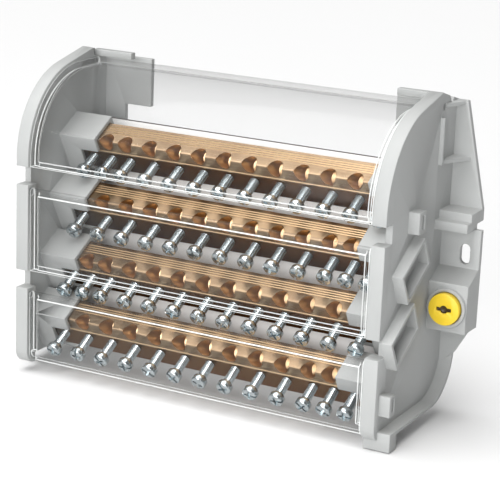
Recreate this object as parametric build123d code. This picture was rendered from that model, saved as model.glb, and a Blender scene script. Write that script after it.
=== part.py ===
from build123d import *
import math
import os

# Stepped four-bar terminal block with hinged clear covers, for a 35 mm rail or a plate.
# X runs along the bars, -Y is the front and Z is up; sizes are millimetres and degrees.
# The origin lies on the rear plane, half way along, at the middle of the rail.
# "Depth" is counted back from the front of the lips, "height" up from the rail's middle line.

# Body
body_length = 200.0
body_depth = 78.0
wall = 3.5

# Front lips of the end plates, from the curved top one down
lip_width = 7.0
lip_depth = 7.5
lip_gap = 9.2
hood_foot = 28.0
hood_straight = 4.0
hood_radius = 44.7
hood_rise = 13.0
hood_run = 23.0
middle_lip_height = 44.0
lower_lip_room = 1.5
lower_lip_radius = 7.0

# Outline of the end walls behind the lips
rear_top = 75.0
top_notch_back = 9.5
top_notch_width = 5.0
top_notch_drop = 3.1
wall_bottom_rise = 2.8
rear_corner_radius = 25.0
rim_reach = 6.5
rim_thickness = 2.0
left_rim_front = 16.0
tab_front = 4.0
tab_run = 8.0
tab_drop = 7.0

# Rail groove
rail_height = 35.0
rail_room = 0.4
rail_groove = 8.0
rail_edge_room = 2.2
rail_hook = 2.0

# Fixing ear outside each wall
ear_reach = 20.0
ear_plate = 3.0
wing_reach = 16.6
wing_top_reach = 5.5
roof_run = 17.0
shelf_height = 46.5
shelf_run = 18.0
shelf_reach = 9.0
rib_height = 22.5
web = 2.0
step_height = 6.1
step_run = 8.0
hook_run = 13.0
hook_drop = 2.4
hook_height = 4.5
slot_width = 5.0
slot_length = 10.0
slot_offset = 12.5
slot_height = 3.0
skirt_reach = 7.0
skirt_drop = 17.0
skirt_edge_drop = 23.0

# Inner rear wing and the stop behind the top hinge
inner_wing_reach = 27.5
inner_wing_height = 25.0
inner_flange_reach = 12.0
stop_reach = 22.5
stop_depth = 4.0
stop_height = 3.5
stop_back = 3.0
stop_sink = 2.5

# Quarter-turn lock, its cam and its housing
lock_offset = 10.0
lock_drop = 21.0
lock_head_diameter = 15.6
lock_head_height = 4.2
lock_shank_diameter = 6.4
lock_running_gap = 0.08
lock_seat_gap = 0.3
lock_slot_length = 7.5
lock_slot_width = 1.8
lock_slot_depth = 1.6
lock_dimple_diameter = 4.0
cam_width = 8.0
cam_reach = 6.5
cam_thickness = 3.0
cam_drive = 4.4
cam_drive_gap = 0.1
housing_depth = 15.0
housing_half = 12.0
housing_step = 2.0
housing_slope_run = 9.0
housing_slope_rise = 5.0
housing_wall = 2.5
housing_front_wall = 3.0
collar_diameter = 19.6
collar_height = 2.0
bearing_wall = 2.0
lock_flats = 28
shank_flats = 16

# Bars, stepped back towards the top
bar_count = 4
bar_tilt = 30.0
bar_thickness = 14.0
bar_height = 20.0
bar_first_depth = 35.0
bar_first_height = 38.3
bar_step_back = 8.1
bar_step_down = 29.4
bar_end_gap = 0.3
bar_land = 8.0
bar_relief = 1.2
bar_ridge_flat = 0.6
groove_width = 0.9
groove_depth = 0.45
groove_pitch = 1.5
groove_margin = 0.6
top_groove_count = 4
land_groove_count = 1

# Terminals along each bar
terminal_count = 13
terminal_inset = 18.5
narrow_pitch = 10.9
narrow_count = 2
wire_hole_diameter = 8.0
wire_hole_depth = 14.5
wire_hole_sides = 8
screw_drop = 12.5
screw_diameter = 4.8
screw_hole_gap = 0.2
screw_hole_depth = 10.0
screw_head_diameter = 7.6
screw_head_height = 4.0
screw_stand_out = 9.7
screw_engagement = 3.8
shank_sides = 6
head_sides = 8

# Sleeves that take the bar ends, and the frames moulded outside them
sleeve_wall = 2.2
sleeve_gap = 0.25
sleeve_length = 21.0
sleeve_notch_room = 4.5
sleeve_notch_start = 6.0
frame_reach = 5.5
frame_wall = 2.0
frame_front = -18.0
frame_back = 10.0
frame_top = -4.0
frame_bottom = 13.0
upper_box_front = 25.0
upper_box_run = 8.0
upper_box_low = 20.0
upper_box_rise = 10.4
lower_box_front = 4.0
lower_box_run = 6.0
lower_box_low = -62.0
lower_box_rise = 10.0
box_slot_width = 2.0
box_slot_depth = 4.0

# Insulating back panel, held in a groove in each wall
panel_thickness = 2.5
panel_offset = 0.5
panel_gap = 0.25
panel_groove = 1.5
panel_top = 43.5
panel_bottom = -66.0

# Clear covers
cover_thickness = 2.0
cover_setback = 1.0
cover_side_gap = 0.5
cover_rim_width = 3.0
cover_rim_depth = 2.0
cover_bead_height = 2.5
cover_bead_depth = 1.2
barrel_radius = 2.0
peg_radius = 1.6
peg_gap = 0.08
peg_length = 3.5
peg_end_gap = 0.5
top_hinge_depth = 60.0
front_hinge_drop = 3.5
pin_sides = 12

# Places that follow from the sizes above
half_length = body_length / 2
wall_inside = half_length - wall
lip_inside = half_length - lip_width
cover_half = lip_inside - cover_side_gap
cover_inner = cover_setback + cover_thickness
middle_lip_top = hood_foot - lip_gap
middle_lip_foot = middle_lip_top - middle_lip_height
lower_lip_top = middle_lip_foot - lip_gap
hood_centre = (hood_radius, hood_foot + hood_straight)
groove_half = rail_height / 2 + rail_room
groove_front = body_depth - rail_groove
groove_edge = groove_front + rail_edge_room
step_top = groove_half + step_height
hook_low = groove_half - hook_drop
lock_x = half_length + lock_offset
lock_height = -lock_drop
housing_front = groove_front - housing_depth
housing_top = lock_height + housing_half
housing_shoulder = housing_top + housing_slope_rise
housing_low = lock_height - housing_half
head_back = housing_front - lock_seat_gap
head_front = head_back - lock_head_height
sleeve_margin = sleeve_gap + sleeve_wall
sleeve_start = wall_inside - sleeve_length
hinge_line = cover_setback + barrel_radius
top_hinge_height = hood_centre[1] + hood_radius - hinge_line
head_top = bar_relief - screw_stand_out - screw_head_height


def bar_point(bar, back, down):
    """Depth and height in a bar's own axes: back along its top face, down along its front face."""
    tilt = math.radians(bar_tilt)
    depth = bar_first_depth - bar * bar_step_back + back * math.cos(tilt) + down * math.sin(tilt)
    height = bar_first_height - bar * bar_step_down + back * math.sin(tilt) - down * math.cos(tilt)
    return (depth, height)


# Places that follow from the last row of screws
screw_foot = bar_point(bar_count - 1, head_top, screw_drop + screw_head_diameter / 2)[1]
lower_lip_foot = screw_foot - lower_lip_room - cover_inner
wall_bottom = lower_lip_foot + wall_bottom_rise
toe_centre = (lower_lip_radius, lower_lip_foot + lower_lip_radius)
rear_corner = (body_depth - rear_corner_radius, wall_bottom + rear_corner_radius)


def circle_point(centre, radius, angle):
    """A side-view point on a circle: 0 degrees is its front, 90 its top, 180 its back, 270 its bottom."""
    turn = math.radians(angle)
    return (centre[0] - radius * math.cos(turn), centre[1] + radius * math.sin(turn))


def arc(centre, radius, start, end):
    """An arc step for a side view: the point half way round, then the point at the end."""
    return (circle_point(centre, radius, (start + end) / 2), circle_point(centre, radius, end))


def side_solid(steps, x_from, x_to):
    """A prism along X. Each step of its side view is a depth-and-height point, or an arc's two points."""
    here = steps[0]
    edges = []
    for step in steps[1:] + [steps[0]]:
        start = Vector(x_from, here[0] - body_depth, here[1])
        if isinstance(step[0], tuple):
            through, here = step
            middle = Vector(x_from, through[0] - body_depth, through[1])
            edges.append(ThreePointArc(start, middle, Vector(x_from, here[0] - body_depth, here[1])))
        else:
            here = step
            edges.append(Line(start, Vector(x_from, here[0] - body_depth, here[1])))
    return extrude(Face(Wire(edges)), x_to - x_from, dir=(1, 0, 0))


def front_plate(points, depth_from, depth_to):
    """A plate seen from the front, with X-and-height corners."""
    corners = [Vector(x, depth_from - body_depth, height) for x, height in points]
    face = Face(Wire.make_polygon(corners, close=True))
    return extrude(face, depth_to - depth_from, dir=(0, 1, 0))


def level_plate(points, low, high):
    """A plate seen from above, with X-and-depth corners."""
    corners = [Vector(x, depth - body_depth, low) for x, depth in points]
    face = Face(Wire.make_polygon(corners, close=True))
    return extrude(face, high - low, dir=(0, 0, 1))


def block(x_from, x_to, depth_from, depth_to, low, high):
    """A box between these faces."""
    box = Box(x_to - x_from, depth_to - depth_from, high - low, align=Align.MIN)
    return Pos(x_from, depth_from - body_depth, low) * box


def rod_x(depth, height, radius, x_from, x_to):
    """A pin along X, with flats."""
    plane = Plane((x_from, depth - body_depth, height), x_dir=(0, 1, 0), z_dir=(1, 0, 0))
    return extrude(plane * RegularPolygon(radius, pin_sides), x_to - x_from)


def rod_y(x, height, radius, sides, depth_from, depth_to):
    """A round piece along Y, with this many flats."""
    plane = Plane((x, depth_from - body_depth, height), x_dir=(1, 0, 0), z_dir=(0, 1, 0))
    return extrude(plane * RegularPolygon(radius, sides), depth_to - depth_from)


def clear_of(radius, gap, sides):
    """The corner radius of a hole with flats that leaves this gap round a turning pin."""
    return (radius + gap) / math.cos(math.pi / sides)


def hood_end(inset):
    """The rear end of the top lip, this far inside its outer face."""
    bend = circle_point(hood_centre, hood_radius - inset, 90 - hood_rise)
    slope = math.radians(hood_rise)
    return (bend[0] + hood_run * math.cos(slope), bend[1] + hood_run * math.sin(slope))


def bar_box(bar, back_from, back_to, down_from, down_to, x_from, x_to):
    """A tilted box in a bar's own axes."""
    corners = [(back_from, down_from), (back_to, down_from), (back_to, down_to), (back_from, down_to)]
    return side_solid([bar_point(bar, *corner) for corner in corners], x_from, x_to)


def bar_plane(bar, x, back, down, dip):
    """A plane on a bar, facing back into it along its top face, or dipped from that."""
    depth, height = bar_point(bar, back, down)
    slope = math.radians(bar_tilt - dip)
    inward = (0, math.cos(slope), math.sin(slope))
    return Plane((x, depth - body_depth, height), x_dir=(1, 0, 0), z_dir=inward)


def terminal_places(bar):
    """Where the terminals sit along X; the close pair of pitches changes ends from bar to bar."""
    span = 2 * (half_length - terminal_inset)
    wide_count = terminal_count - 1 - narrow_count
    wide_pitch = (span - narrow_count * narrow_pitch) / wide_count
    pitches = [wide_pitch] * wide_count + [narrow_pitch] * narrow_count
    if bar % 2 == 0:
        pitches.reverse()
    return [sum(pitches[:step]) - span / 2 for step in range(terminal_count)]


def bar_section():
    """The drawn section of a bar: grooved top face, ridge, grooved land and relieved front face."""
    start = wire_hole_diameter / math.sqrt(2) + groove_margin + groove_width / 2
    top = []
    for number in range(top_groove_count):
        middle = start + number * groove_pitch
        top += [(middle - groove_width / 2, 0), (middle, groove_depth), (middle + groove_width / 2, 0)]
    land = []
    for number in range(land_groove_count):
        middle = start + number * groove_pitch
        land += [(0, middle - groove_width / 2), (groove_depth, middle), (0, middle + groove_width / 2)]
    rear = [(bar_thickness, 0), (bar_thickness, bar_height), (bar_relief, bar_height)]
    face = [(bar_relief, bar_land), (0, bar_land)]
    return [(0, bar_ridge_flat), (bar_ridge_flat, 0)] + top + rear + face + land[::-1]


def make_bar(bar):
    """A brass bar with slanting wire holes in its ridge and a screw hole meeting each from the front."""
    end = wall_inside - bar_end_gap
    solid = side_solid([bar_point(bar, *corner) for corner in bar_section()], -end, end)
    wire_hole = RegularPolygon(wire_hole_diameter / 2, wire_hole_sides)
    screw_hole = RegularPolygon(screw_diameter / 2 + screw_hole_gap, shank_sides)
    places = terminal_places(bar)
    holes = [extrude(bar_plane(bar, x, 0, 0, 45) * wire_hole, wire_hole_depth) for x in places[1:-1]]
    for x in places:
        holes.append(extrude(bar_plane(bar, x, 0, screw_drop, 0) * screw_hole, bar_relief + screw_hole_depth))
    return solid - holes


def make_screws(bar):
    """The clamp screws of one bar, backed out as for wiring."""
    shank = RegularPolygon(screw_diameter / 2, shank_sides)
    head = RegularPolygon(screw_head_diameter / 2, head_sides)
    screws = []
    for x in terminal_places(bar):
        seat = bar_plane(bar, x, bar_relief - screw_stand_out, screw_drop, 0)
        top = bar_plane(bar, x, head_top, screw_drop, 0)
        screw = extrude(top * head, screw_head_height) + extrude(seat * shank, screw_stand_out + screw_engagement)
        screws.append(screw.solid())
    return Compound(screws)


def panel_slab(gap, reach):
    """The back panel leaning with the bars just behind the sleeves, grown by a gap, to this reach each way."""
    corner = bar_point(0, bar_thickness + sleeve_margin, bar_height + sleeve_margin)
    lean = bar_step_back / bar_step_down
    slant = math.sqrt(1 + lean * lean)
    near = (panel_offset - gap) * slant
    far = (panel_offset + panel_thickness + gap) * slant
    top = panel_top + gap
    low = panel_bottom - gap
    top_depth = corner[0] + (top - corner[1]) * lean
    low_depth = corner[0] + (low - corner[1]) * lean
    corners = [(low_depth + near, low), (top_depth + near, top), (top_depth + far, top), (low_depth + far, low)]
    return side_solid(corners, -reach, reach)


def lip_steps():
    """The side view of the thick lip along an end plate's front."""
    return [
        (lip_depth, lower_lip_foot),
        (lower_lip_radius, lower_lip_foot),
        arc(toe_centre, lower_lip_radius, 270, 360),
        (0.0, hood_centre[1]),
        arc(hood_centre, hood_radius, 0, 90 - hood_rise),
        hood_end(0),
        hood_end(lip_depth),
        circle_point(hood_centre, hood_radius - lip_depth, 90 - hood_rise),
        arc(hood_centre, hood_radius - lip_depth, 90 - hood_rise, 0),
    ]


def wall_top(depth):
    """The height of an end wall's top edge, which falls from the hood's end to the rear."""
    tip = hood_end(0)
    fall = (tip[1] - rear_top) / (body_depth - tip[0])
    return rear_top + fall * (body_depth - depth)


def wall_steps():
    """The side view of an end wall, with the notch in its top edge and the rail groove in its rear."""
    notch = body_depth - top_notch_back
    notch_front = notch - top_notch_width / 2
    notch_back = notch + top_notch_width / 2
    return [
        (lower_lip_radius, wall_bottom),
        (lower_lip_radius, lower_lip_foot),
        arc(toe_centre, lower_lip_radius, 270, 360),
        (0.0, hood_centre[1]),
        arc(hood_centre, hood_radius, 0, 90 - hood_rise),
        hood_end(0),
        (notch_front, wall_top(notch_front)),
        (notch, wall_top(notch) - top_notch_drop),
        (notch_back, wall_top(notch_back)),
        (body_depth, rear_top),
        (body_depth, groove_half - rail_hook),
        (groove_edge, groove_half - rail_hook),
        (groove_edge, groove_half),
        (groove_front, groove_half),
        (groove_front, -groove_half),
        (body_depth, -groove_half),
        (body_depth, rear_corner[1]),
        arc(rear_corner, rear_corner_radius, 180, 270),
    ]


def rim_steps(rim_front):
    """The side view of the raised rim round an end wall's lower rear corner, from this depth back."""
    inner = rear_corner_radius - rim_thickness
    return [
        (body_depth, housing_low),
        (body_depth, rear_corner[1]),
        arc(rear_corner, rear_corner_radius, 180, 270),
        (rim_front, wall_bottom),
        (rim_front, wall_bottom + rim_thickness),
        (rear_corner[0], wall_bottom + rim_thickness),
        arc(rear_corner, inner, 270, 180),
        (body_depth - rim_thickness, housing_low),
    ]


def wing():
    """The upper half of the ear: a sloping rear wing, its gussets and the stepped blocks over the rail."""
    tip = half_length + wing_top_reach
    outer = half_length + wing_reach
    rear = body_depth - ear_plate
    shelf_front = rear - shelf_run
    corners = [(half_length, groove_half), (outer, groove_half), (outer, step_top), (tip, rear_top)]
    solid = front_plate(corners + [(half_length, rear_top)], rear, body_depth)
    roof = [(half_length, body_depth - roof_run), (tip, body_depth), (half_length, body_depth)]
    solid += level_plate(roof, rear_top - web, rear_top)
    shelf = [(half_length, shelf_front), (half_length + shelf_reach, rear), (half_length, rear)]
    solid += level_plate(shelf, shelf_height, shelf_height + web)
    rib_front = shelf_front - web / 2
    rib_top = shelf_height + rib_height
    solid += block(half_length, half_length + web, rib_front, rib_front + web, shelf_height, rib_top)
    solid += block(half_length, outer, groove_front - step_run, body_depth, groove_half, step_top)
    solid += block(half_length, outer, groove_front - hook_run, groove_front, hook_low, hook_low + hook_height)
    return solid


def housing():
    """The lower half of the ear: slotted plate, lock housing with its collar and bearing, and the skirt."""
    outer = half_length + ear_reach
    shoulder_front = housing_front + housing_step
    profile = [
        (groove_front, housing_low),
        (housing_front, housing_low),
        (housing_front, housing_top),
        (shoulder_front, housing_top),
        (shoulder_front + housing_slope_run, housing_shoulder),
        (groove_front, housing_shoulder),
    ]
    solid = side_solid(profile, half_length, outer)
    hollow_front = housing_front + housing_front_wall
    hollow_low = housing_low + housing_wall
    hollow_top = housing_top - housing_wall
    solid -= block(half_length, outer - housing_wall, hollow_front, groove_front, hollow_low, hollow_top)
    bearing = clear_of(lock_shank_diameter / 2, lock_running_gap, shank_flats)
    bearing_end = groove_edge - lock_seat_gap
    solid += rod_y(lock_x, lock_height, bearing + bearing_wall, shank_flats, housing_front, bearing_end)
    solid -= block(half_length, outer, groove_front, body_depth, -groove_half, groove_half)
    collar_front = housing_front - collar_height
    solid += rod_y(lock_x, lock_height, collar_diameter / 2, lock_flats, collar_front, housing_front)
    seat = clear_of(lock_head_diameter / 2, lock_seat_gap, lock_flats)
    solid -= rod_y(lock_x, lock_height, seat, lock_flats, collar_front, housing_front)
    solid -= rod_y(lock_x, lock_height, bearing, shank_flats, housing_front, bearing_end)
    plate_front = groove_front - ear_plate
    solid += block(half_length, outer, plate_front, groove_front, housing_shoulder, hook_low)
    slot_x = half_length + slot_offset
    slot_half = slot_width / 2
    slot_low = slot_height - slot_length / 2 + slot_half
    slot_top = slot_height + slot_length / 2 - slot_half
    solid -= block(slot_x - slot_half, slot_x + slot_half, plate_front, groove_front, slot_low, slot_top)
    for end in (slot_low, slot_top):
        solid -= rod_y(slot_x, end, slot_half, shank_flats, plate_front, groove_front)
    wing_edge = half_length + wing_reach
    solid += block(half_length, wing_edge, groove_front, body_depth, housing_low, hollow_low)
    skirt = [
        (half_length, housing_low),
        (wing_edge, housing_low),
        (half_length + skirt_reach, housing_low - skirt_drop),
        (half_length, housing_low - skirt_edge_drop),
    ]
    solid += front_plate(skirt, body_depth - ear_plate, body_depth)
    return solid


def sleeve(bar):
    """The moulded sleeve for one bar end; a notch in its front lets the last screw out."""
    margin = sleeve_margin
    tube = bar_box(bar, -margin, bar_thickness + margin, -margin, bar_height + margin, sleeve_start, wall_inside)
    gap = sleeve_gap
    tube -= bar_box(bar, -gap, bar_thickness + gap, -gap, bar_height + gap, sleeve_start, wall_inside)
    notch_end = half_length - terminal_inset + sleeve_notch_room
    tube -= bar_box(bar, -margin, bar_relief, sleeve_notch_start, bar_height + margin, sleeve_start, notch_end)
    return tube


def outer_frame(bar):
    """The open tilted frame outside the wall at a middle bar."""
    reach = half_length + frame_reach
    solid = bar_box(bar, frame_front, frame_back, frame_top, frame_bottom, half_length, reach)
    solid -= bar_box(
        bar,
        frame_front + frame_wall,
        frame_back - frame_wall,
        frame_top + frame_wall,
        frame_bottom - frame_wall,
        half_length,
        reach,
    )
    return solid


def outer_box(box_front, run, low, rise):
    """A small box outside the wall with an upright slot in its outer face."""
    reach = half_length + frame_reach
    solid = block(half_length, reach, box_front, box_front + run, low, low + rise)
    slot_front = box_front + run / 2
    slot_low = low + frame_wall
    slot_top = low + rise - frame_wall
    solid -= block(reach - box_slot_depth, reach, slot_front, slot_front + box_slot_width, slot_low, slot_top)
    return solid


def outer_fittings():
    """What only the right end plate carries outside: two frames, two slotted boxes and a foot tab."""
    fittings = [outer_frame(bar) for bar in range(1, bar_count - 1)]
    fittings.append(outer_box(upper_box_front, upper_box_run, upper_box_low, upper_box_rise))
    fittings.append(outer_box(lower_box_front, lower_box_run, lower_box_low, lower_box_rise))
    tab_low = wall_bottom - tab_drop
    reach = half_length + rim_reach
    fittings.append(block(lip_inside, reach, tab_front, tab_front + tab_run, tab_low, wall_bottom))
    return fittings


def make_end_plate(rim_front, fittings):
    """An end plate moulded in one piece, drawn for the right end."""
    lips = side_solid(lip_steps(), lip_inside, half_length)
    plate = side_solid(wall_steps(), wall_inside, half_length) + lips
    plate -= block(lip_inside, half_length, 0, lip_depth, middle_lip_top, hood_foot)
    plate -= block(lip_inside, half_length, 0, lip_depth, lower_lip_top, middle_lip_foot)
    for bar in range(bar_count):
        plate += sleeve(bar)
    plate -= panel_slab(panel_gap, wall_inside + panel_groove)
    plate += side_solid(rim_steps(rim_front), half_length, half_length + rim_reach)
    for fitting in fittings:
        plate += fitting
    plate += wing()
    plate += housing()
    rear = body_depth - ear_plate
    inner_wing = wall_inside - inner_wing_reach
    inner_wing_low = rear_top - inner_wing_height
    plate += block(inner_wing, wall_inside, rear, body_depth, inner_wing_low, rear_top)
    inner_flange = wall_inside - inner_flange_reach
    plate += block(inner_flange, wall_inside, rear, body_depth, groove_half, inner_wing_low)
    stop_front = top_hinge_depth + stop_back
    stop_end = stop_front + stop_depth
    stop_low = wall_top(stop_end) - stop_sink
    stop_start = wall_inside - stop_reach
    plate += block(stop_start, wall_inside, stop_front, stop_end, stop_low, stop_low + stop_height)
    hole = clear_of(peg_radius, peg_gap, pin_sides)
    for top in (middle_lip_top, lower_lip_top):
        hinge = top - front_hinge_drop
        plate -= rod_x(hinge_line, hinge, hole, lip_inside, cover_half + peg_length + peg_end_gap)
    plate -= rod_x(top_hinge_depth, top_hinge_height, hole, lip_inside, half_length)
    return plate


def make_right_lock():
    """The yellow quarter-turn lock: slotted head, shank and a square end for the cam."""
    lock = rod_y(lock_x, lock_height, lock_head_diameter / 2, lock_flats, head_front, head_back)
    lock += rod_y(lock_x, lock_height, lock_shank_diameter / 2, shank_flats, head_back, groove_edge)
    half = cam_drive / 2
    end = groove_edge + cam_thickness
    lock += block(lock_x - half, lock_x + half, groove_edge, end, lock_height - half, lock_height + half)
    slot_end = head_front + lock_slot_depth
    half_run = lock_slot_length / 2
    half_rise = lock_slot_width / 2
    slot_low = lock_height - half_rise
    slot_top = lock_height + half_rise
    slot = block(lock_x - half_run, lock_x + half_run, head_front, slot_end, slot_low, slot_top)
    slot += rod_y(lock_x, lock_height, lock_dimple_diameter / 2, pin_sides, head_front, slot_end)
    return lock - slot


def make_right_cam():
    """The tongue on the lock's square end, turned up behind the rail's lower edge."""
    half = cam_width / 2
    end = groove_edge + cam_thickness
    cam = block(lock_x - half, lock_x + half, groove_edge, end, lock_height - half, lock_height + cam_reach)
    hole = cam_drive / 2 + cam_drive_gap
    cam -= block(lock_x - hole, lock_x + hole, groove_edge, end, lock_height - hole, lock_height + hole)
    return cam


def hinge_rod(depth, height, peg_end):
    """The barrel along a cover's top edge with a peg at each end."""
    barrel = rod_x(depth, height, barrel_radius, -cover_half, cover_half)
    return barrel + rod_x(depth, height, peg_radius, -peg_end, peg_end)


def hood_strip(outer, inner):
    """The side view of a strip that follows the hood between two insets and runs level to the top hinge."""
    top = hood_centre[1] + hood_radius
    return [
        (outer, hood_foot),
        (outer, hood_centre[1]),
        arc(hood_centre, hood_radius - outer, 0, 90),
        (top_hinge_depth, top - outer),
        (top_hinge_depth, top - inner),
        (hood_centre[0], top - inner),
        arc(hood_centre, hood_radius - inner, 90, 0),
        (inner, hood_foot),
    ]


def make_upper_cover():
    """The clear hood: curved front, level roof, stiffened ends and a bead along its foot."""
    rim = cover_inner + cover_rim_depth
    cover = side_solid(hood_strip(cover_setback, cover_inner), -cover_half, cover_half)
    cover += side_solid(hood_strip(cover_inner, rim), cover_half - cover_rim_width, cover_half)
    cover += side_solid(hood_strip(cover_inner, rim), -cover_half, cover_rim_width - cover_half)
    bead = cover_inner + cover_bead_depth
    cover += block(-cover_half, cover_half, cover_inner, bead, hood_foot, hood_foot + cover_bead_height)
    return cover + hinge_rod(top_hinge_depth, top_hinge_height, half_length - wall / 2)


def make_front_cover(top, foot):
    """A flat clear cover hung from its top edge, with stiffened ends."""
    hinge = top - front_hinge_drop
    rim = cover_inner + cover_rim_depth
    cover = block(-cover_half, cover_half, cover_setback, cover_inner, foot, hinge)
    cover += block(cover_half - cover_rim_width, cover_half, cover_inner, rim, foot, hinge)
    cover += block(-cover_half, cover_rim_width - cover_half, cover_inner, rim, foot, hinge)
    return cover + hinge_rod(hinge_line, hinge, cover_half + peg_length)


def make_middle_cover():
    """The middle cover, with a bead along its foot."""
    bead = cover_inner + cover_bead_depth
    foot = middle_lip_foot
    cover = make_front_cover(middle_lip_top, foot)
    return cover + block(-cover_half, cover_half, cover_inner, bead, foot, foot + cover_bead_height)


def make_lower_cover():
    """The lower cover, whose foot curls back under the last bar's screws."""
    outer = lower_lip_radius - cover_setback
    inner = outer - cover_thickness
    toe = [
        circle_point(toe_centre, outer, 0),
        arc(toe_centre, outer, 360, 270),
        circle_point(toe_centre, inner, 270),
        arc(toe_centre, inner, 270, 360),
    ]
    return make_front_cover(lower_lip_top, toe_centre[1]) + side_solid(toe, -cover_half, cover_half)


right_lock = make_right_lock()
right_cam = make_right_cam()
nodes = {
    "right_end_plate": make_end_plate(tab_front, outer_fittings()),
    "left_end_plate": mirror(make_end_plate(left_rim_front, []), about=Plane.YZ),
    "back_panel": panel_slab(0, wall_inside + panel_groove - panel_gap),
    "upper_cover": make_upper_cover(),
    "middle_cover": make_middle_cover(),
    "lower_cover": make_lower_cover(),
    "right_lock": right_lock,
    "left_lock": mirror(right_lock, about=Plane.YZ),
    "right_lock_cam": right_cam,
    "left_lock_cam": mirror(right_cam, about=Plane.YZ),
}
for number in range(bar_count):
    nodes[f"bar_{number + 1}"] = make_bar(number)
    nodes[f"screws_bar_{number + 1}"] = make_screws(number)

os.makedirs("parts", exist_ok=True)
for name, shape in nodes.items():
    export_step(shape, f"parts/{name}.step")
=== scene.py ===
import math

import bmesh
import bpy
from mathutils import Matrix, Vector
from mathutils.bvhtree import BVHTree


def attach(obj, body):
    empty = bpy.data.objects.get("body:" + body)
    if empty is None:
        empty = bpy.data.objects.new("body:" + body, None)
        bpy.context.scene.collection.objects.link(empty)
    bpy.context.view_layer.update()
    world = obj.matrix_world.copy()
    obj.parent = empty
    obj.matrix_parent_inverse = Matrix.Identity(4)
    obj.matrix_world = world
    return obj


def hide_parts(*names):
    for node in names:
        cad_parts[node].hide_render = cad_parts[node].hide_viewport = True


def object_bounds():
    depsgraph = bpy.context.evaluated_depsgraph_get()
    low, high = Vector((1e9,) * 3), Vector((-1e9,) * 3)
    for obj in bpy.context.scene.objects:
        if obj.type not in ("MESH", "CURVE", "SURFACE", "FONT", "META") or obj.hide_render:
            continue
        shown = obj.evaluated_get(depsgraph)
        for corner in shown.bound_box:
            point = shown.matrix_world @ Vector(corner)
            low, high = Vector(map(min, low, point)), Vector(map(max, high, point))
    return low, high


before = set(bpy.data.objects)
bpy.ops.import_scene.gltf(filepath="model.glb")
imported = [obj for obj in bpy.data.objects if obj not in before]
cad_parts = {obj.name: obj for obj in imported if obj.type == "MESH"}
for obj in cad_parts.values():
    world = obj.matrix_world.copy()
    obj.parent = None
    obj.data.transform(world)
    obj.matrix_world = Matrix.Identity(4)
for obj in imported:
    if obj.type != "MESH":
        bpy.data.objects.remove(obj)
cad_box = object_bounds()


# End plates. Each is one injection moulding in light grey plastic with a fine matt skin: a wall with
# thick front lips, sleeves for the bar ends on its inside, and the rail ear with the lock housing on
# its outside. The mould leaves every edge slightly rounded.
plate_rounding = 0.00035
weld_gap = 2e-6
flat_degrees = 0.5
rounding_smooth_degrees = 35
light_grey = (0.35, 0.358, 0.354)
pale_dust = (0.78, 0.77, 0.74)
plastic_grain_depth = 0.0002


def set_out(name, data):
    """An object in the scene with this mesh, light or lens."""
    thing = bpy.data.objects.new(name, data)
    bpy.context.scene.collection.objects.link(thing)
    return thing


def settle(piece, smooth_degrees):
    """Applies what is on a piece to its mesh, then shades it smooth up to this angle."""
    graph = bpy.context.evaluated_depsgraph_get()
    mesh = bpy.data.meshes.new_from_object(piece.evaluated_get(graph))
    piece.modifiers.clear()
    piece.data = mesh
    mesh.shade_smooth()
    mesh.set_sharp_from_angle(angle=math.radians(smooth_degrees))


def keep_to_solid(piece, solid, surface, furthest):
    """Brings back corners that the rounding throws off the solid, and holds the others in its box."""
    low = [min(vertex.co[axis] for vertex in solid.vertices) for axis in range(3)]
    high = [max(vertex.co[axis] for vertex in solid.vertices) for axis in range(3)]
    for vertex in piece.data.vertices:
        nearest, _, _, away = surface.find_nearest(vertex.co)
        if away > furthest:
            vertex.co = nearest
        vertex.co = [min(max(vertex.co[axis], low[axis]), high[axis]) for axis in range(3)]
    piece.data.update()


def smooth_copy(node, name, edge_radius, finishes, sharpest=30):
    """A copy of a solid with its flat faces joined up again and its edges rounded off."""
    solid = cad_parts[node].data.copy()
    solid.materials.clear()
    for finish in finishes:
        solid.materials.append(finish)
    work = bmesh.new()
    work.from_mesh(solid)
    bmesh.ops.remove_doubles(work, verts=work.verts, dist=weld_gap)
    bmesh.ops.dissolve_limit(
        work, angle_limit=math.radians(flat_degrees), use_dissolve_boundaries=False,
        verts=work.verts, edges=work.edges, delimit=set(),
    )
    bmesh.ops.recalc_face_normals(work, faces=work.faces)
    work.to_mesh(solid)
    surface = BVHTree.FromBMesh(work)
    work.free()
    piece = set_out(name, solid)
    rounding = piece.modifiers.new("rounding", "BEVEL")
    rounding.width = edge_radius
    rounding.segments = 2
    rounding.limit_method = "ANGLE"
    rounding.angle_limit = math.radians(sharpest)
    rounding.use_clamp_overlap = False
    rounding.miter_outer = "MITER_ARC"
    rounding.material = len(finishes) - 1
    settle(piece, rounding_smooth_degrees)
    keep_to_solid(piece, solid, surface, edge_radius)
    return piece


def feed(tree, node, inputs):
    """Gives each of these inputs of a node a value, or joins it to another node's output."""
    for socket, source in inputs.items():
        if isinstance(source, bpy.types.NodeSocket):
            tree.links.new(source, node.inputs[socket])
        else:
            node.inputs[socket].default_value = source


def add(tree, kind, inputs=None, **settings):
    """A node in a tree, with its properties set and then its inputs fed."""
    node = tree.nodes.new(kind)
    for key, value in settings.items():
        setattr(node, key, value)
    feed(tree, node, inputs or {})
    return node


def calc(tree, operation, *values):
    """The result of one sum on values and outputs."""
    return add(tree, "ShaderNodeMath", dict(enumerate(values)), operation=operation).outputs[0]


def spread(tree, value, start, end, low=0.0, high=1.0):
    """A value brought from one range to another and held at both ends of it."""
    ends = {"From Min": start, "From Max": end, "To Min": low, "To Max": high}
    return add(tree, "ShaderNodeMapRange", {"Value": value, **ends}).outputs[0]


def lay_over(tree, amount, under, over, way="MIX"):
    """One colour laid over another."""
    layers = {"Factor": amount, "A": under, "B": over}
    return add(tree, "ShaderNodeMix", layers, data_type="RGBA", blend_type=way).outputs["Result"]


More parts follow.
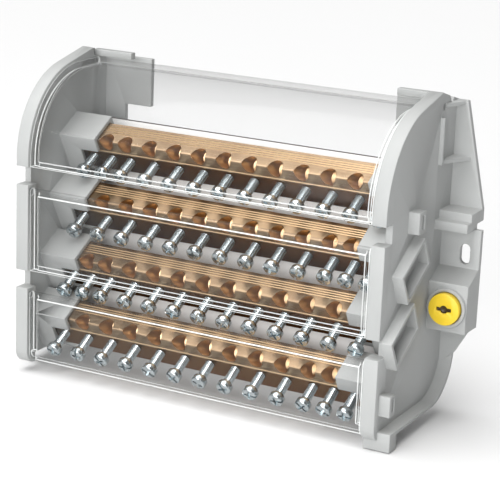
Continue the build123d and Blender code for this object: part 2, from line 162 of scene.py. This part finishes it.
def noise(tree, place, scale, detail):
    """A cloudy pattern over the surface."""
    return add(tree, "ShaderNodeTexNoise", {"Vector": place, "Scale": scale, "Detail": detail}).outputs["Fac"]


def looking_up(tree):
    """How far a face looks upwards: 1 for a level top."""
    normal = add(tree, "ShaderNodeNewGeometry").outputs["Normal"]
    return add(tree, "ShaderNodeSeparateXYZ", {0: normal}).outputs["Z"]


def surface_group(name, inputs, outputs):
    """A shader node group with these values going in and out, and the nodes at its two ends."""
    tree = bpy.data.node_groups.new(name, "ShaderNodeTree")
    for way, labels in (("INPUT", inputs), ("OUTPUT", outputs)):
        for label in labels:
            tree.interface.new_socket(name=label, in_out=way, socket_type="NodeSocketFloat")
    return tree, add(tree, "NodeGroupInput").outputs, add(tree, "NodeGroupOutput")


def moulded_skin_group():
    """The fine grain of a moulded skin and the slow drift of tone across it."""
    tree, given, result = surface_group(
        "moulded_skin",
        ("Grain Scale", "Roughness", "Roughness Spread", "Tone Spread"),
        ("Roughness", "Height", "Tone"),
    )
    place = add(tree, "ShaderNodeTexCoord").outputs["Object"]
    drift = calc(tree, "SUBTRACT", noise(tree, place, scale=34.0, detail=5.0), 0.5)
    feed(tree, result, {
        "Roughness": calc(tree, "MULTIPLY_ADD", drift, given["Roughness Spread"], given["Roughness"]),
        "Height": noise(tree, place, scale=given["Grain Scale"], detail=3.0),
        "Tone": calc(tree, "MULTIPLY_ADD", drift, given["Tone Spread"], 1.0),
    })
    return tree


def shelf_dust_group():
    """Where a little dust settles: faces that look up, in soft patches."""
    tree, given, result = surface_group("shelf_dust", ("Amount",), ("Mask",))
    place = add(tree, "ShaderNodeTexCoord").outputs["Object"]
    upward = spread(tree, looking_up(tree), start=0.35, end=1.0)
    patches = calc(tree, "MULTIPLY", upward, noise(tree, place, scale=90.0, detail=6.0))
    feed(tree, result, {"Mask": calc(tree, "MULTIPLY", patches, given["Amount"])})
    return tree


moulded_skin = moulded_skin_group()
shelf_dust = shelf_dust_group()


def blank_material(name):
    """A new material, with its node tree and its shader."""
    material = bpy.data.materials.new(name)
    material.use_nodes = True
    return material, material.node_tree, material.node_tree.nodes["Principled BSDF"]


def skinned(name, colour, skin_values, bump, bump_depth, dust, dust_colour, shader_values):
    """A material of one colour with a grained skin and a trace of dust on top."""
    material, tree, shader = blank_material(name)
    skin = add(tree, "ShaderNodeGroup", skin_values, node_tree=moulded_skin).outputs
    film = add(tree, "ShaderNodeGroup", {"Amount": dust}, node_tree=shelf_dust).outputs
    clean = lay_over(tree, 1.0, (*colour, 1.0), skin["Tone"], "MULTIPLY")
    relief = {"Strength": bump, "Distance": bump_depth, "Height": skin["Height"]}
    feed(tree, shader, {
        "Base Color": lay_over(tree, film["Mask"], clean, (*dust_colour, 1.0)),
        "Roughness": skin["Roughness"],
        "Normal": add(tree, "ShaderNodeBump", relief).outputs["Normal"],
        **shader_values,
    })
    return material


def moulded_plastic(name, colour, roughness, grain_scale, bump, dust):
    """A moulded plastic: one pigment all through, and the skin that the mould gave it."""
    skin = {"Grain Scale": grain_scale, "Roughness": roughness, "Roughness Spread": 0.16, "Tone Spread": 0.1}
    return skinned(
        name, colour, skin, bump, plastic_grain_depth, dust, pale_dust, {"Specular IOR Level": 0.4}
    )


grey_moulding = moulded_plastic(
    "light_grey_moulding", light_grey, roughness=0.5, grain_scale=1500.0, bump=0.25, dust=0.15
)
for side in ("left", "right"):
    plate = smooth_copy(f"{side}_end_plate", f"{side}_end_moulding", plate_rounding, [grey_moulding])
    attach(plate, "base")
    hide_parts(f"{side}_end_plate")


# Back panel. A cut sheet of white insulating board, slid into a groove in each end wall behind the
# bars, so that no wire can reach the mounting plate. Its faces are smooth with a faint pressed texture,
# and its upward-facing top edge is coloured near-black.
board_rounding = 0.0002
board_white = (0.9, 0.89, 0.88)
top_edge_dark = (0.09, 0.08, 0.075)


def paint_over(material, mask, colour):
    """Lays a colour over a material's own where the mask is 1."""
    tree = material.node_tree
    shader = tree.nodes["Principled BSDF"]
    own_colour = shader.inputs["Base Color"].links[0].from_socket
    feed(tree, shader, {"Base Color": lay_over(tree, mask, own_colour, (*colour, 1.0))})


white_board = moulded_plastic(
    "white_insulating_board", board_white, roughness=0.6, grain_scale=700.0, bump=0.12, dust=0.0
)
# The upward-facing top edge is coloured near-black.
top_edge_mask = spread(white_board.node_tree, looking_up(white_board.node_tree), start=0.6, end=0.8)
paint_over(white_board, top_edge_mask, top_edge_dark)
panel = smooth_copy("back_panel", "insulating_board", board_rounding, [white_board])
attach(panel, "base")
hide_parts("back_panel")


# Brass bars. Four lengths of drawn brass lie tilted in the sleeves, each a step further forward than
# the one above. Drawing leaves fine lines along them; the ridge is drilled for the wires and the front
# face tapped for the clamp screws.
bar_count = 4
bar_tilt = math.radians(30)
bar_back = Vector((0, math.cos(bar_tilt), math.sin(bar_tilt)))
bar_down = Vector((0, math.sin(bar_tilt), -math.cos(bar_tilt)))
first_ridge = Vector((0, -0.043, 0.0383))
ridge_step = Vector((0, -0.0081, -0.0294))
bar_half = 0.0962
bar_thickness = 0.014
bar_height = 0.020
bar_edge = 0.0004
ridge_rounding = 0.0007
ridge_shoulder = 0.0002
land_height = 0.008
land_edge = 0.0002
land_fillet = 0.0003
face_relief = 0.0012
top_groove_count = 4
groove_start = 0.0067
groove_pitch = 0.0015
groove_half = 0.00045
groove_floor_half = 0.0001
top_groove_depth = 0.00042
land_groove_depth = 0.00025
wire_hole_radius = 0.004
wire_hole_depth = 0.0138
wire_hole_sides = 36
screw_hole_radius = 0.0026
screw_hole_depth = 0.0108
screw_hole_sides = 24
screw_drop = 0.0125
drill_overrun = 0.004
drill_point = 0.5
bar_smooth_degrees = 30
terminal_end = 0.0815
close_pitches = 2
wide_pitches = 10
close_pitch = 0.0109
wide_pitch = (2 * terminal_end - close_pitches * close_pitch) / wide_pitches
film_share = 0.6
film_end = 0.3
film_brown = (0.27, 0.18, 0.11)
drawn_end = 0.72
drawn_colour = (0.44, 0.315, 0.195)
painted_recess_shade = (0.5, 0.36, 0.25)
cut_and_lit_brass = (0.7, 0.5, 0.3)


def ridge(number):
    """The middle of a bar's front ridge."""
    return first_ridge + ridge_step * number


def pitch_runs(number):
    """The pitches along a bar from the left: every other bar has its close ones first."""
    runs = [(close_pitches, close_pitch), (wide_pitches, wide_pitch)]
    if number % 2:
        runs.reverse()
    return runs


def terminals(number):
    """The terminals along a bar."""
    places = [-terminal_end]
    for count, pitch in pitch_runs(number):
        for _ in range(count):
            places.append(places[-1] + pitch)
    return places


def groove(middle, depth):
    """A drawn groove's four corners, as places along the face and depths below it."""
    mouth = [(middle - groove_half, 0), (middle - groove_floor_half, depth)]
    return mouth + [(middle + groove_floor_half, depth), (middle + groove_half, 0)]


def bar_section():
    """The corners of the drawn section, as depths behind the ridge and drops below the top face."""
    corners = [(0, ridge_rounding), (ridge_shoulder, ridge_shoulder), (ridge_rounding, 0)]
    for step in range(top_groove_count):
        corners += groove(groove_start + groove_pitch * step, top_groove_depth)
    corners += [(bar_thickness - bar_edge, 0), (bar_thickness, bar_edge)]
    corners += [(bar_thickness, bar_height - bar_edge), (bar_thickness - bar_edge, bar_height)]
    corners += [(face_relief + bar_edge, bar_height), (face_relief, bar_height - bar_edge)]
    corners += [(face_relief, land_height + land_edge), (face_relief - land_fillet, land_height)]
    corners += [(land_edge, land_height), (0, land_height - land_edge)]
    corners += [(depth, drop) for drop, depth in reversed(groove(groove_start, land_groove_depth))]
    return corners


def circle(radius, level, sides):
    """The corners of a level ring about Z."""
    turns = [2 * math.pi * step / sides for step in range(sides)]
    return [Vector((radius * math.cos(turn), radius * math.sin(turn), level)) for turn in turns]


def stitch(work, upper, lower):
    """Faces between two rings of corners, where a ring of one corner is a point."""
    sides = max(len(upper), len(lower))
    for step in range(sides):
        after = (step + 1) % sides
        corners = [upper[step % len(upper)], lower[step % len(lower)]]
        corners += [lower[after % len(lower)], upper[after % len(upper)]]
        work.faces.new(list(dict.fromkeys(corners)))


def drill(work, start, direction, radius, depth, sides):
    """A drill's round hole with its pointed end."""
    spin = Vector((0, 0, 1)).rotation_difference(direction).to_matrix().to_4x4()
    rings = [circle(radius, -drill_overrun, sides), circle(radius, depth, sides)]
    rings.append([Vector((0, 0, depth + radius * drill_point))])
    mouth, shoulder, tip = [[work.verts.new(start + spin @ corner) for corner in ring] for ring in rings]
    work.faces.new(mouth[::-1])
    stitch(work, mouth, shoulder)
    stitch(work, shoulder, tip)


def made_mesh(work, name):
    """A mesh of what was worked, with its faces turned outwards."""
    bmesh.ops.recalc_face_normals(work, faces=work.faces)
    mesh = bpy.data.meshes.new(name)
    work.to_mesh(mesh)
    work.free()
    return mesh


def cut_away(piece, tool_meshes, smooth_degrees, tools_cross=False):
    """Cuts these shapes out of a piece."""
    tools = [set_out("cutting_tool", mesh) for mesh in tool_meshes]
    for tool in tools:
        cut = piece.modifiers.new("cut", "BOOLEAN")
        cut.operation = "DIFFERENCE"
        cut.solver = "EXACT"
        cut.use_self = tools_cross
        cut.object = tool
    settle(piece, smooth_degrees)
    for tool in tools:
        bpy.data.objects.remove(tool)


def brass_bar(number):
    """A drawn bar with its wire holes and screw holes cut in it."""
    section = bar_section()
    work = bmesh.new()
    ends = []
    for x in (-bar_half, bar_half):
        middle = ridge(number) + Vector((x, 0, 0))
        ends.append([work.verts.new(middle + bar_back * depth + bar_down * drop) for depth, drop in section])
    work.faces.new(ends[0])
    work.faces.new(ends[1][::-1])
    stitch(work, ends[0], ends[1])
    piece = set_out(f"brass_bar_{number + 1}", made_mesh(work, "brass_bar"))
    slant = (bar_back + bar_down).normalized()
    places = [ridge(number) + Vector((x, 0, 0)) for x in terminals(number)]
    wire_holes = bmesh.new()
    for place in places[1:-1]:
        drill(wire_holes, place, slant, wire_hole_radius, wire_hole_depth, wire_hole_sides)
    screw_holes = bmesh.new()
    for place in places:
        start = place + bar_down * screw_drop
        drill(screw_holes, start, bar_back, screw_hole_radius, screw_hole_depth, screw_hole_sides)
    holes = [made_mesh(wire_holes, "wire_holes"), made_mesh(screw_holes, "screw_holes")]
    cut_away(piece, holes, bar_smooth_degrees)
    return piece


def vector_calc(tree, operation, *vectors):
    """The outputs of one sum on vectors."""
    return add(tree, "ShaderNodeVectorMath", dict(enumerate(vectors)), operation=operation).outputs


def part_along(tree, vector, direction):
    """How far a vector reaches in a direction."""
    return vector_calc(tree, "DOT_PRODUCT", vector, direction)["Value"]


def below_land(tree, place):
    """Where the bars are relieved below their lands; the margin keeps each top face with its own bar."""
    margin = land_edge + land_fillet
    from_first = calc(tree, "ADD", part_along(tree, place, bar_down), margin - ridge(0).dot(bar_down))
    from_own = calc(tree, "MODULO", from_first, ridge_step.dot(bar_down))
    return spread(tree, from_own, land_height + land_edge, land_height + margin)


def drawn_brass():
    """Brass as drawn: lines along it, a brown film, painted shade in the relief, and a paler brass on slanted
    faces that is bare drilled metal and painted light.
    """
    material, tree, shader = blank_material("drawn_brass")
    place = add(tree, "ShaderNodeTexCoord").outputs["Object"]
    drawn_out = add(tree, "ShaderNodeMapping", {"Vector": place, "Scale": (6.0, 1500.0, 1500.0)})
    lines = noise(tree, drawn_out.outputs["Vector"], scale=1.0, detail=4.0)
    film = noise(tree, place, scale=55.0, detail=7.0)
    tint = add(tree, "ShaderNodeValToRGB")
    ends = zip(tint.color_ramp.elements, (film_end, drawn_end), (film_brown, drawn_colour))
    for element, position, colour in ends:
        element.position = position
        element.color = (*colour, 1.0)
    lines_part = calc(tree, "MULTIPLY", lines, 1.0 - film_share)
    feed(tree, tint, {"Fac": calc(tree, "MULTIPLY_ADD", film, film_share, lines_part)})
    normal = add(tree, "ShaderNodeNewGeometry").outputs["Normal"]
    forward_part = part_along(tree, normal, -bar_back)
    downward_part = part_along(tree, normal, bar_down)
    front_face = spread(tree, forward_part, start=0.95, end=0.985)
    # Painted shade: the relieved face below each land is multiplied darker, as if in shadow.
    recess = calc(tree, "MULTIPLY", below_land(tree, place), front_face)
    painted_recess_dark = lay_over(tree, recess, tint.outputs["Color"], (*painted_recess_shade, 1.0), "MULTIPLY")
    # Paler brass on faces slanted to both the top and the front, such as the hole walls, groove flanks and
    # bar ends: bare cut metal there, and also painted light standing in for the light inside the holes.
    squareness = [calc(tree, "ABSOLUTE", part) for part in (forward_part, downward_part)]
    cut_and_lit_slants = spread(tree, calc(tree, "MAXIMUM", *squareness), start=0.9, end=0.8)
    relief = add(tree, "ShaderNodeBump", {"Strength": 0.3, "Distance": 0.0001, "Height": lines})
    feed(tree, shader, {
        "Base Color": lay_over(tree, cut_and_lit_slants, painted_recess_dark, (*cut_and_lit_brass, 1.0)),
        "Roughness": spread(tree, lines, start=0.0, end=1.0, low=0.42, high=0.24),
        "Normal": relief.outputs["Normal"],
        "Metallic": 1.0,
    })
    return material


brass = drawn_brass()
for number in range(bar_count):
    bar = brass_bar(number)
    bar.data.materials.append(brass)
    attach(bar, "base")
    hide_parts(f"bar_{number + 1}")


# Clamp screws. Zinc-plated steel screws with cross-slotted heads, one for each terminal, all backed
# out ready for wiring. Each row is thirteen copies of one screw set along its bar.
screw_seat = -0.0085
screw_sides = 24
screw_smooth_degrees = 40
head_radius = 0.0038
head_height = 0.004
head_flat_radius = 0.0031
shoulder_radius = 0.0035
shoulder_drop = 0.00012
rim_drop = 0.0005
rim_foot = 0.0007
underside_radius = 0.0036
underside_rise = 0.0004
bearing_radius = 0.003
shank_radius = 0.0024
shank_length = 0.0135
neck_length = 0.0006
thread_start = 0.0008
thread_pitch = 0.001
thread_depth = 0.0003
thread_root = 0.35
thread_crest = 0.8
point_taper = 0.0006
cross_width = 0.0011
cross_long = 0.0078
cross_short = 0.0052
cross_depth = 0.0016
cross_overrun = 0.001
turn_seed = 11
zinc_colour = (0.52, 0.57, 0.59)
zinc_dust = (0.6, 0.58, 0.54)


def screw_outline():
    """Half of a screw's section, from the middle of its head down to its point."""
    outline = [(0.0, head_height), (head_flat_radius, head_height)]
    outline += [(shoulder_radius, head_height - shoulder_drop), (head_radius, head_height - rim_drop)]
    outline += [(head_radius, rim_foot), (underside_radius, underside_rise), (bearing_radius, 0.0)]
    outline += [(shank_radius, 0.0), (shank_radius, -neck_length)]
    for turn in range(int((shank_length - 2 * thread_start) / thread_pitch)):
        level = -thread_start - turn * thread_pitch
        outline.append((shank_radius - thread_depth, level - thread_pitch * thread_root))
        outline.append((shank_radius, level - thread_pitch * thread_crest))
    outline += [(shank_radius - point_taper, -shank_length), (0.0, -shank_length)]
    return outline


def clamp_screw():
    """One screw standing on its seat: head up along Z, threaded shank down."""
    work = bmesh.new()
    rings = []
    for radius, level in screw_outline():
        ring = circle(radius, level, screw_sides) if radius else [Vector((0, 0, level))]
        rings.append([work.verts.new(corner) for corner in ring])
    for upper, lower in zip(rings, rings[1:]):
        stitch(work, upper, lower)
    screw = set_out("clamp_screw", made_mesh(work, "clamp_screw"))
    cross = bmesh.new()
    for length, width in ((cross_long, cross_width), (cross_width, cross_short)):
        arm = bmesh.ops.create_cube(cross, size=1.0)["verts"]
        middle = Vector((0, 0, head_height + (cross_overrun - cross_depth) / 2))
        bmesh.ops.scale(cross, vec=Vector((length, width, cross_depth + cross_overrun)), verts=arm)
        bmesh.ops.translate(cross, vec=middle, verts=arm)
    cut_away(screw, [made_mesh(cross, "cross_slot")], screw_smooth_degrees, tools_cross=True)
    return screw


def screw_row_tree():
    """A row of screws in two runs of even pitch, each screw turned to a chance angle."""
    tree = bpy.data.node_groups.new("screw_row", "GeometryNodeTree")
    wanted = (
        ("Screw", "NodeSocketObject"),
        ("First Place", "NodeSocketVector"),
        ("First Count", "NodeSocketInt"),
        ("First Pitch", "NodeSocketFloat"),
        ("Second Count", "NodeSocketInt"),
        ("Second Pitch", "NodeSocketFloat"),
        ("Tilt", "NodeSocketVector"),
        ("Seed", "NodeSocketInt"),
        ("Finish", "NodeSocketMaterial"),
    )
    for label, kind in wanted:
        tree.interface.new_socket(name=label, in_out="INPUT", socket_type=kind)
    tree.interface.new_socket(name="Geometry", in_out="OUTPUT", socket_type="NodeSocketGeometry")
    given = add(tree, "NodeGroupInput").outputs
    result = add(tree, "NodeGroupOutput")
    seats = add(tree, "GeometryNodeJoinGeometry")
    start = given["First Place"]
    for run in ("First", "Second"):
        count = given[f"{run} Count"]
        step = add(tree, "ShaderNodeCombineXYZ", {"X": given[f"{run} Pitch"]}).outputs[0]
        line = {"Count": count, "Start Location": start, "Offset": step}
        row = add(tree, "GeometryNodeMeshLine", line, mode="OFFSET")
        feed(tree, seats, {0: row.outputs["Mesh"]})
        run_length = add(tree, "ShaderNodeVectorMath", {0: step, "Scale": count}, operation="SCALE")
        start = vector_calc(tree, "ADD", start, run_length.outputs["Vector"])["Vector"]
    copies = add(tree, "GeometryNodeInstanceOnPoints", {
        "Points": seats.outputs[0],
        "Instance": add(tree, "GeometryNodeObjectInfo", {"Object": given["Screw"]}).outputs["Geometry"],
        "Rotation": add(tree, "FunctionNodeEulerToRotation", {0: given["Tilt"]}).outputs[0],
    })
    full_turn = {"Max": 2 * math.pi, "Seed": given["Seed"]}
    chance = add(tree, "FunctionNodeRandomValue", full_turn, data_type="FLOAT").outputs["Value"]
    about = add(tree, "ShaderNodeCombineXYZ", {"Z": chance}).outputs[0]
    turned = add(tree, "GeometryNodeRotateInstances", {
        "Instances": copies.outputs[0],
        "Rotation": add(tree, "FunctionNodeEulerToRotation", {0: about}).outputs[0],
    })
    real = add(tree, "GeometryNodeRealizeInstances", {0: turned.outputs[0]}).outputs[0]
    plated = add(tree, "GeometryNodeSetMaterial", {"Geometry": real, "Material": given["Finish"]})
    feed(tree, result, {"Geometry": plated.outputs[0]})
    return tree


zinc_skin = {"Grain Scale": 2600.0, "Roughness": 0.24, "Roughness Spread": 0.3, "Tone Spread": 0.35}
zinc = skinned(
    "zinc_plate", zinc_colour, zinc_skin, bump=0.15, bump_depth=0.0001, dust=0.15, dust_colour=zinc_dust,
    shader_values={"Metallic": 1.0},
)
pattern_screw = clamp_screw()
row_tree = screw_row_tree()
row_inputs = [item for item in row_tree.interface.items_tree if item.in_out == "INPUT"]
row_sockets = {item.name: item.identifier for item in row_inputs}
for number in range(bar_count):
    seat = ridge(number) + bar_back * screw_seat + bar_down * screw_drop
    (first_count, first_pitch), (second_count, second_pitch) = pitch_runs(number)
    settings = {
        "Screw": pattern_screw,
        "First Place": (-terminal_end, seat.y, seat.z),
        "First Count": first_count,
        "First Pitch": first_pitch,
        "Second Count": second_count + 1,
        "Second Pitch": second_pitch,
        "Tilt": (math.radians(90) + bar_tilt, 0.0, 0.0),
        "Seed": turn_seed + number,
        "Finish": zinc,
    }
    row = set_out(f"clamp_screw_row_{number + 1}", bpy.data.meshes.new("clamp_screw_row"))
    setting = row.modifiers.new("row", "NODES")
    setting.node_group = row_tree
    for label, value in settings.items():
        setting[row_sockets[label]] = value
    settle(row, screw_smooth_degrees)
    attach(row, "base")
    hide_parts(f"screws_bar_{number + 1}")
bpy.data.objects.remove(pattern_screw)


# Quarter-turn locks. A yellow plastic screw in each ear with a slot and a dimple in its head; a quarter
# turn swings the tongue at its rear end off the rail's lower edge. Both pieces are plain mouldings, and
# the slot is coloured near-black as painted shade.
lock_rounding = 0.0003
lock_yellow = (0.78, 0.55, 0.03)
slot_painted_shade = (0.05, 0.03, 0.008)
slot_middle = (0.110, 0.0262, 0.021)
slot_extent = (0.0048, 0.0008, 0.0048)


def in_slot(tree):
    """The driving slots of both locks, which lie as far to the left and to the right of the middle."""
    place = add(tree, "ShaderNodeTexCoord").outputs["Object"]
    either = vector_calc(tree, "ABSOLUTE", place)["Vector"]
    offset = vector_calc(tree, "SUBTRACT", either, slot_middle)["Vector"]
    shares = vector_calc(tree, "DIVIDE", offset, slot_extent)["Vector"]
    away = vector_calc(tree, "LENGTH", shares)["Value"]
    return spread(tree, away, start=1.0, end=0.8)


yellow_moulding = moulded_plastic(
    "yellow_moulding", lock_yellow, roughness=0.38, grain_scale=2200.0, bump=0.1, dust=0.08
)
# Painted shade: the slot in each lock head is coloured near-black, as if in shadow.
paint_over(yellow_moulding, in_slot(yellow_moulding.node_tree), slot_painted_shade)
for side in ("left", "right"):
    for node, name in ((f"{side}_lock", f"{side}_lock_screw"), (f"{side}_lock_cam", f"{side}_lock_tongue")):
        piece = smooth_copy(node, name, lock_rounding, [yellow_moulding])
        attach(piece, f"{side}_lock")
        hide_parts(node)


# Covers. Three clear polycarbonate mouldings close the front: a curved hood hinged at the rear of its
# roof and two flat ones hinged along their top edges, each on pegs that snap into the end plates. Their
# rounded edges carry a painted highlight: a dense near-white sheet.
cover_rounding = 0.00045
cover_sharpest = 40
clear_tint = (0.09, 0.095, 0.095)
painted_edge_highlight = (0.88, 0.9, 0.89)
polycarbonate_ior = 1.58
shadow_share = 0.3


def clear_sheet(name, colour, face_on, edge_on, roughness):
    """Clear polycarbonate: thin to look through face on, denser where it is seen at a slant."""
    material, tree, shader = blank_material(name)
    polish = {"Grain Scale": 400.0, "Roughness": roughness, "Roughness Spread": 0.06}
    skin = add(tree, "ShaderNodeGroup", polish, node_tree=moulded_skin).outputs
    slant = add(tree, "ShaderNodeLayerWeight", {"Blend": 0.25}).outputs["Facing"]
    shadow_ray = add(tree, "ShaderNodeLightPath").outputs["Is Shadow Ray"]
    veil = spread(tree, slant, start=0.0, end=1.0, low=face_on, high=edge_on)
    held_back = spread(tree, shadow_ray, start=0.0, end=1.0, low=1.0, high=shadow_share)
    feed(tree, shader, {
        "Base Color": (*colour, 1.0),
        "Alpha": calc(tree, "MULTIPLY", veil, held_back),
        "Roughness": skin["Roughness"],
        "IOR": polycarbonate_ior,
        "Specular IOR Level": 0.8,
    })
    return material


clear_face = clear_sheet("clear_polycarbonate", clear_tint, face_on=0.035, edge_on=0.4, roughness=0.14)
# Painted highlight: the rounded edge faces get a dense near-white sheet in place of the light they catch.
edge_highlight_sheet = clear_sheet("polycarbonate_edge_highlight", painted_edge_highlight, face_on=0.7, edge_on=0.85, roughness=0.2)
for place in ("upper", "middle", "lower"):
    cover = smooth_copy(
        f"{place}_cover", f"{place}_clear_cover", cover_rounding, [clear_face, edge_highlight_sheet], cover_sharpest
    )
    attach(cover, f"{place}_cover")
    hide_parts(f"{place}_cover")


# Studio. A pale floor under the block, a broad soft light overhead, a long strip light and a panel light
# in front, and a white surround that is dimmer on the right. The camera stands where the photograph was
# taken from.
floor_reach = 20.0
floor_gap = 0.0004
paper_grey = (0.72, 0.72, 0.72)
surround_bright = 0.36
surround_dim = 0.14
camera_place = (0.3964, -0.7692, 0.2228)
camera_yaw = math.radians(27.782)
camera_pitch = math.radians(15.46)
camera_roll = math.radians(-2.369)

floor_level = cad_box[0][2] - floor_gap
floor_ways = ((-1, -1), (1, -1), (1, 1), (-1, 1))
floor_corners = [(x * floor_reach, y * floor_reach, floor_level) for x, y in floor_ways]
floor_mesh = bpy.data.meshes.new("studio_floor")
floor_mesh.from_pydata(floor_corners, [], [(0, 1, 2, 3)])
paper, paper_tree, paper_shader = blank_material("studio_paper")
feed(paper_tree, paper_shader, {"Base Color": (*paper_grey, 1.0), "Roughness": 0.9})
floor_mesh.materials.append(paper)
floor = set_out("studio_floor", floor_mesh)


def lamp(name, kind, energy, place, aim):
    """A light that stands here and shines this way."""
    light = bpy.data.lights.new(name, kind)
    light.energy = energy
    stand = set_out(name, light)
    stand.location = place
    stand.rotation_euler = Vector(aim).to_track_quat("-Z", "Y").to_euler()
    return light


def panel_lamp(name, energy, width, height, place, aim):
    """A light with a flat oblong face."""
    light = lamp(name, "AREA", energy, place, aim)
    light.shape = "RECTANGLE"
    light.size = width
    light.size_y = height


overhead = lamp("overhead_light", "SUN", energy=3.4, place=(-0.15, -0.2, 0.97), aim=(0.15, 0.2, -0.97))
overhead.angle = math.radians(60)
panel_lamp(
    "strip_light", energy=2.0, width=2.6, height=0.05, place=(-0.63, -1.15, 0.6), aim=(0.0, 1.1, -0.6)
)
panel_lamp(
    "front_light", energy=15.0, width=0.9, height=0.6, place=(0.16, -1.3, 0.27), aim=(-0.16, 1.3, -0.27)
)

world = bpy.data.worlds.new("white_surround")
bpy.context.scene.world = world
world.use_nodes = True
sky = world.node_tree
direction = add(sky, "ShaderNodeTexCoord").outputs["Generated"]
rightward = add(sky, "ShaderNodeSeparateXYZ", {0: direction}).outputs["X"]
feed(sky, sky.nodes["Background"], {
    "Color": (1.0, 1.0, 1.0, 1.0),
    "Strength": spread(sky, rightward, start=-0.2, end=0.7, low=surround_bright, high=surround_dim),
})
bpy.context.scene.view_settings.view_transform = "Standard"

ahead = math.cos(camera_pitch)
forward = Vector((-math.sin(camera_yaw) * ahead, math.cos(camera_yaw) * ahead, -math.sin(camera_pitch)))
across = Vector((math.cos(camera_yaw), math.sin(camera_yaw), 0.0))
downward = forward.cross(across)
image_right = across * math.cos(camera_roll) + downward * math.sin(camera_roll)
image_down = downward * math.cos(camera_roll) - across * math.sin(camera_roll)
lens = bpy.data.cameras.new("photo_camera")
lens.sensor_width = 36.0
lens.lens = 126.0
lens.clip_start = 0.05
camera = set_out("photo_camera", lens)
camera_turn = Matrix((image_right, -image_down, -forward)).transposed().to_4x4()
camera.matrix_world = Matrix.Translation(camera_place) @ camera_turn
bpy.context.scene.camera = camera
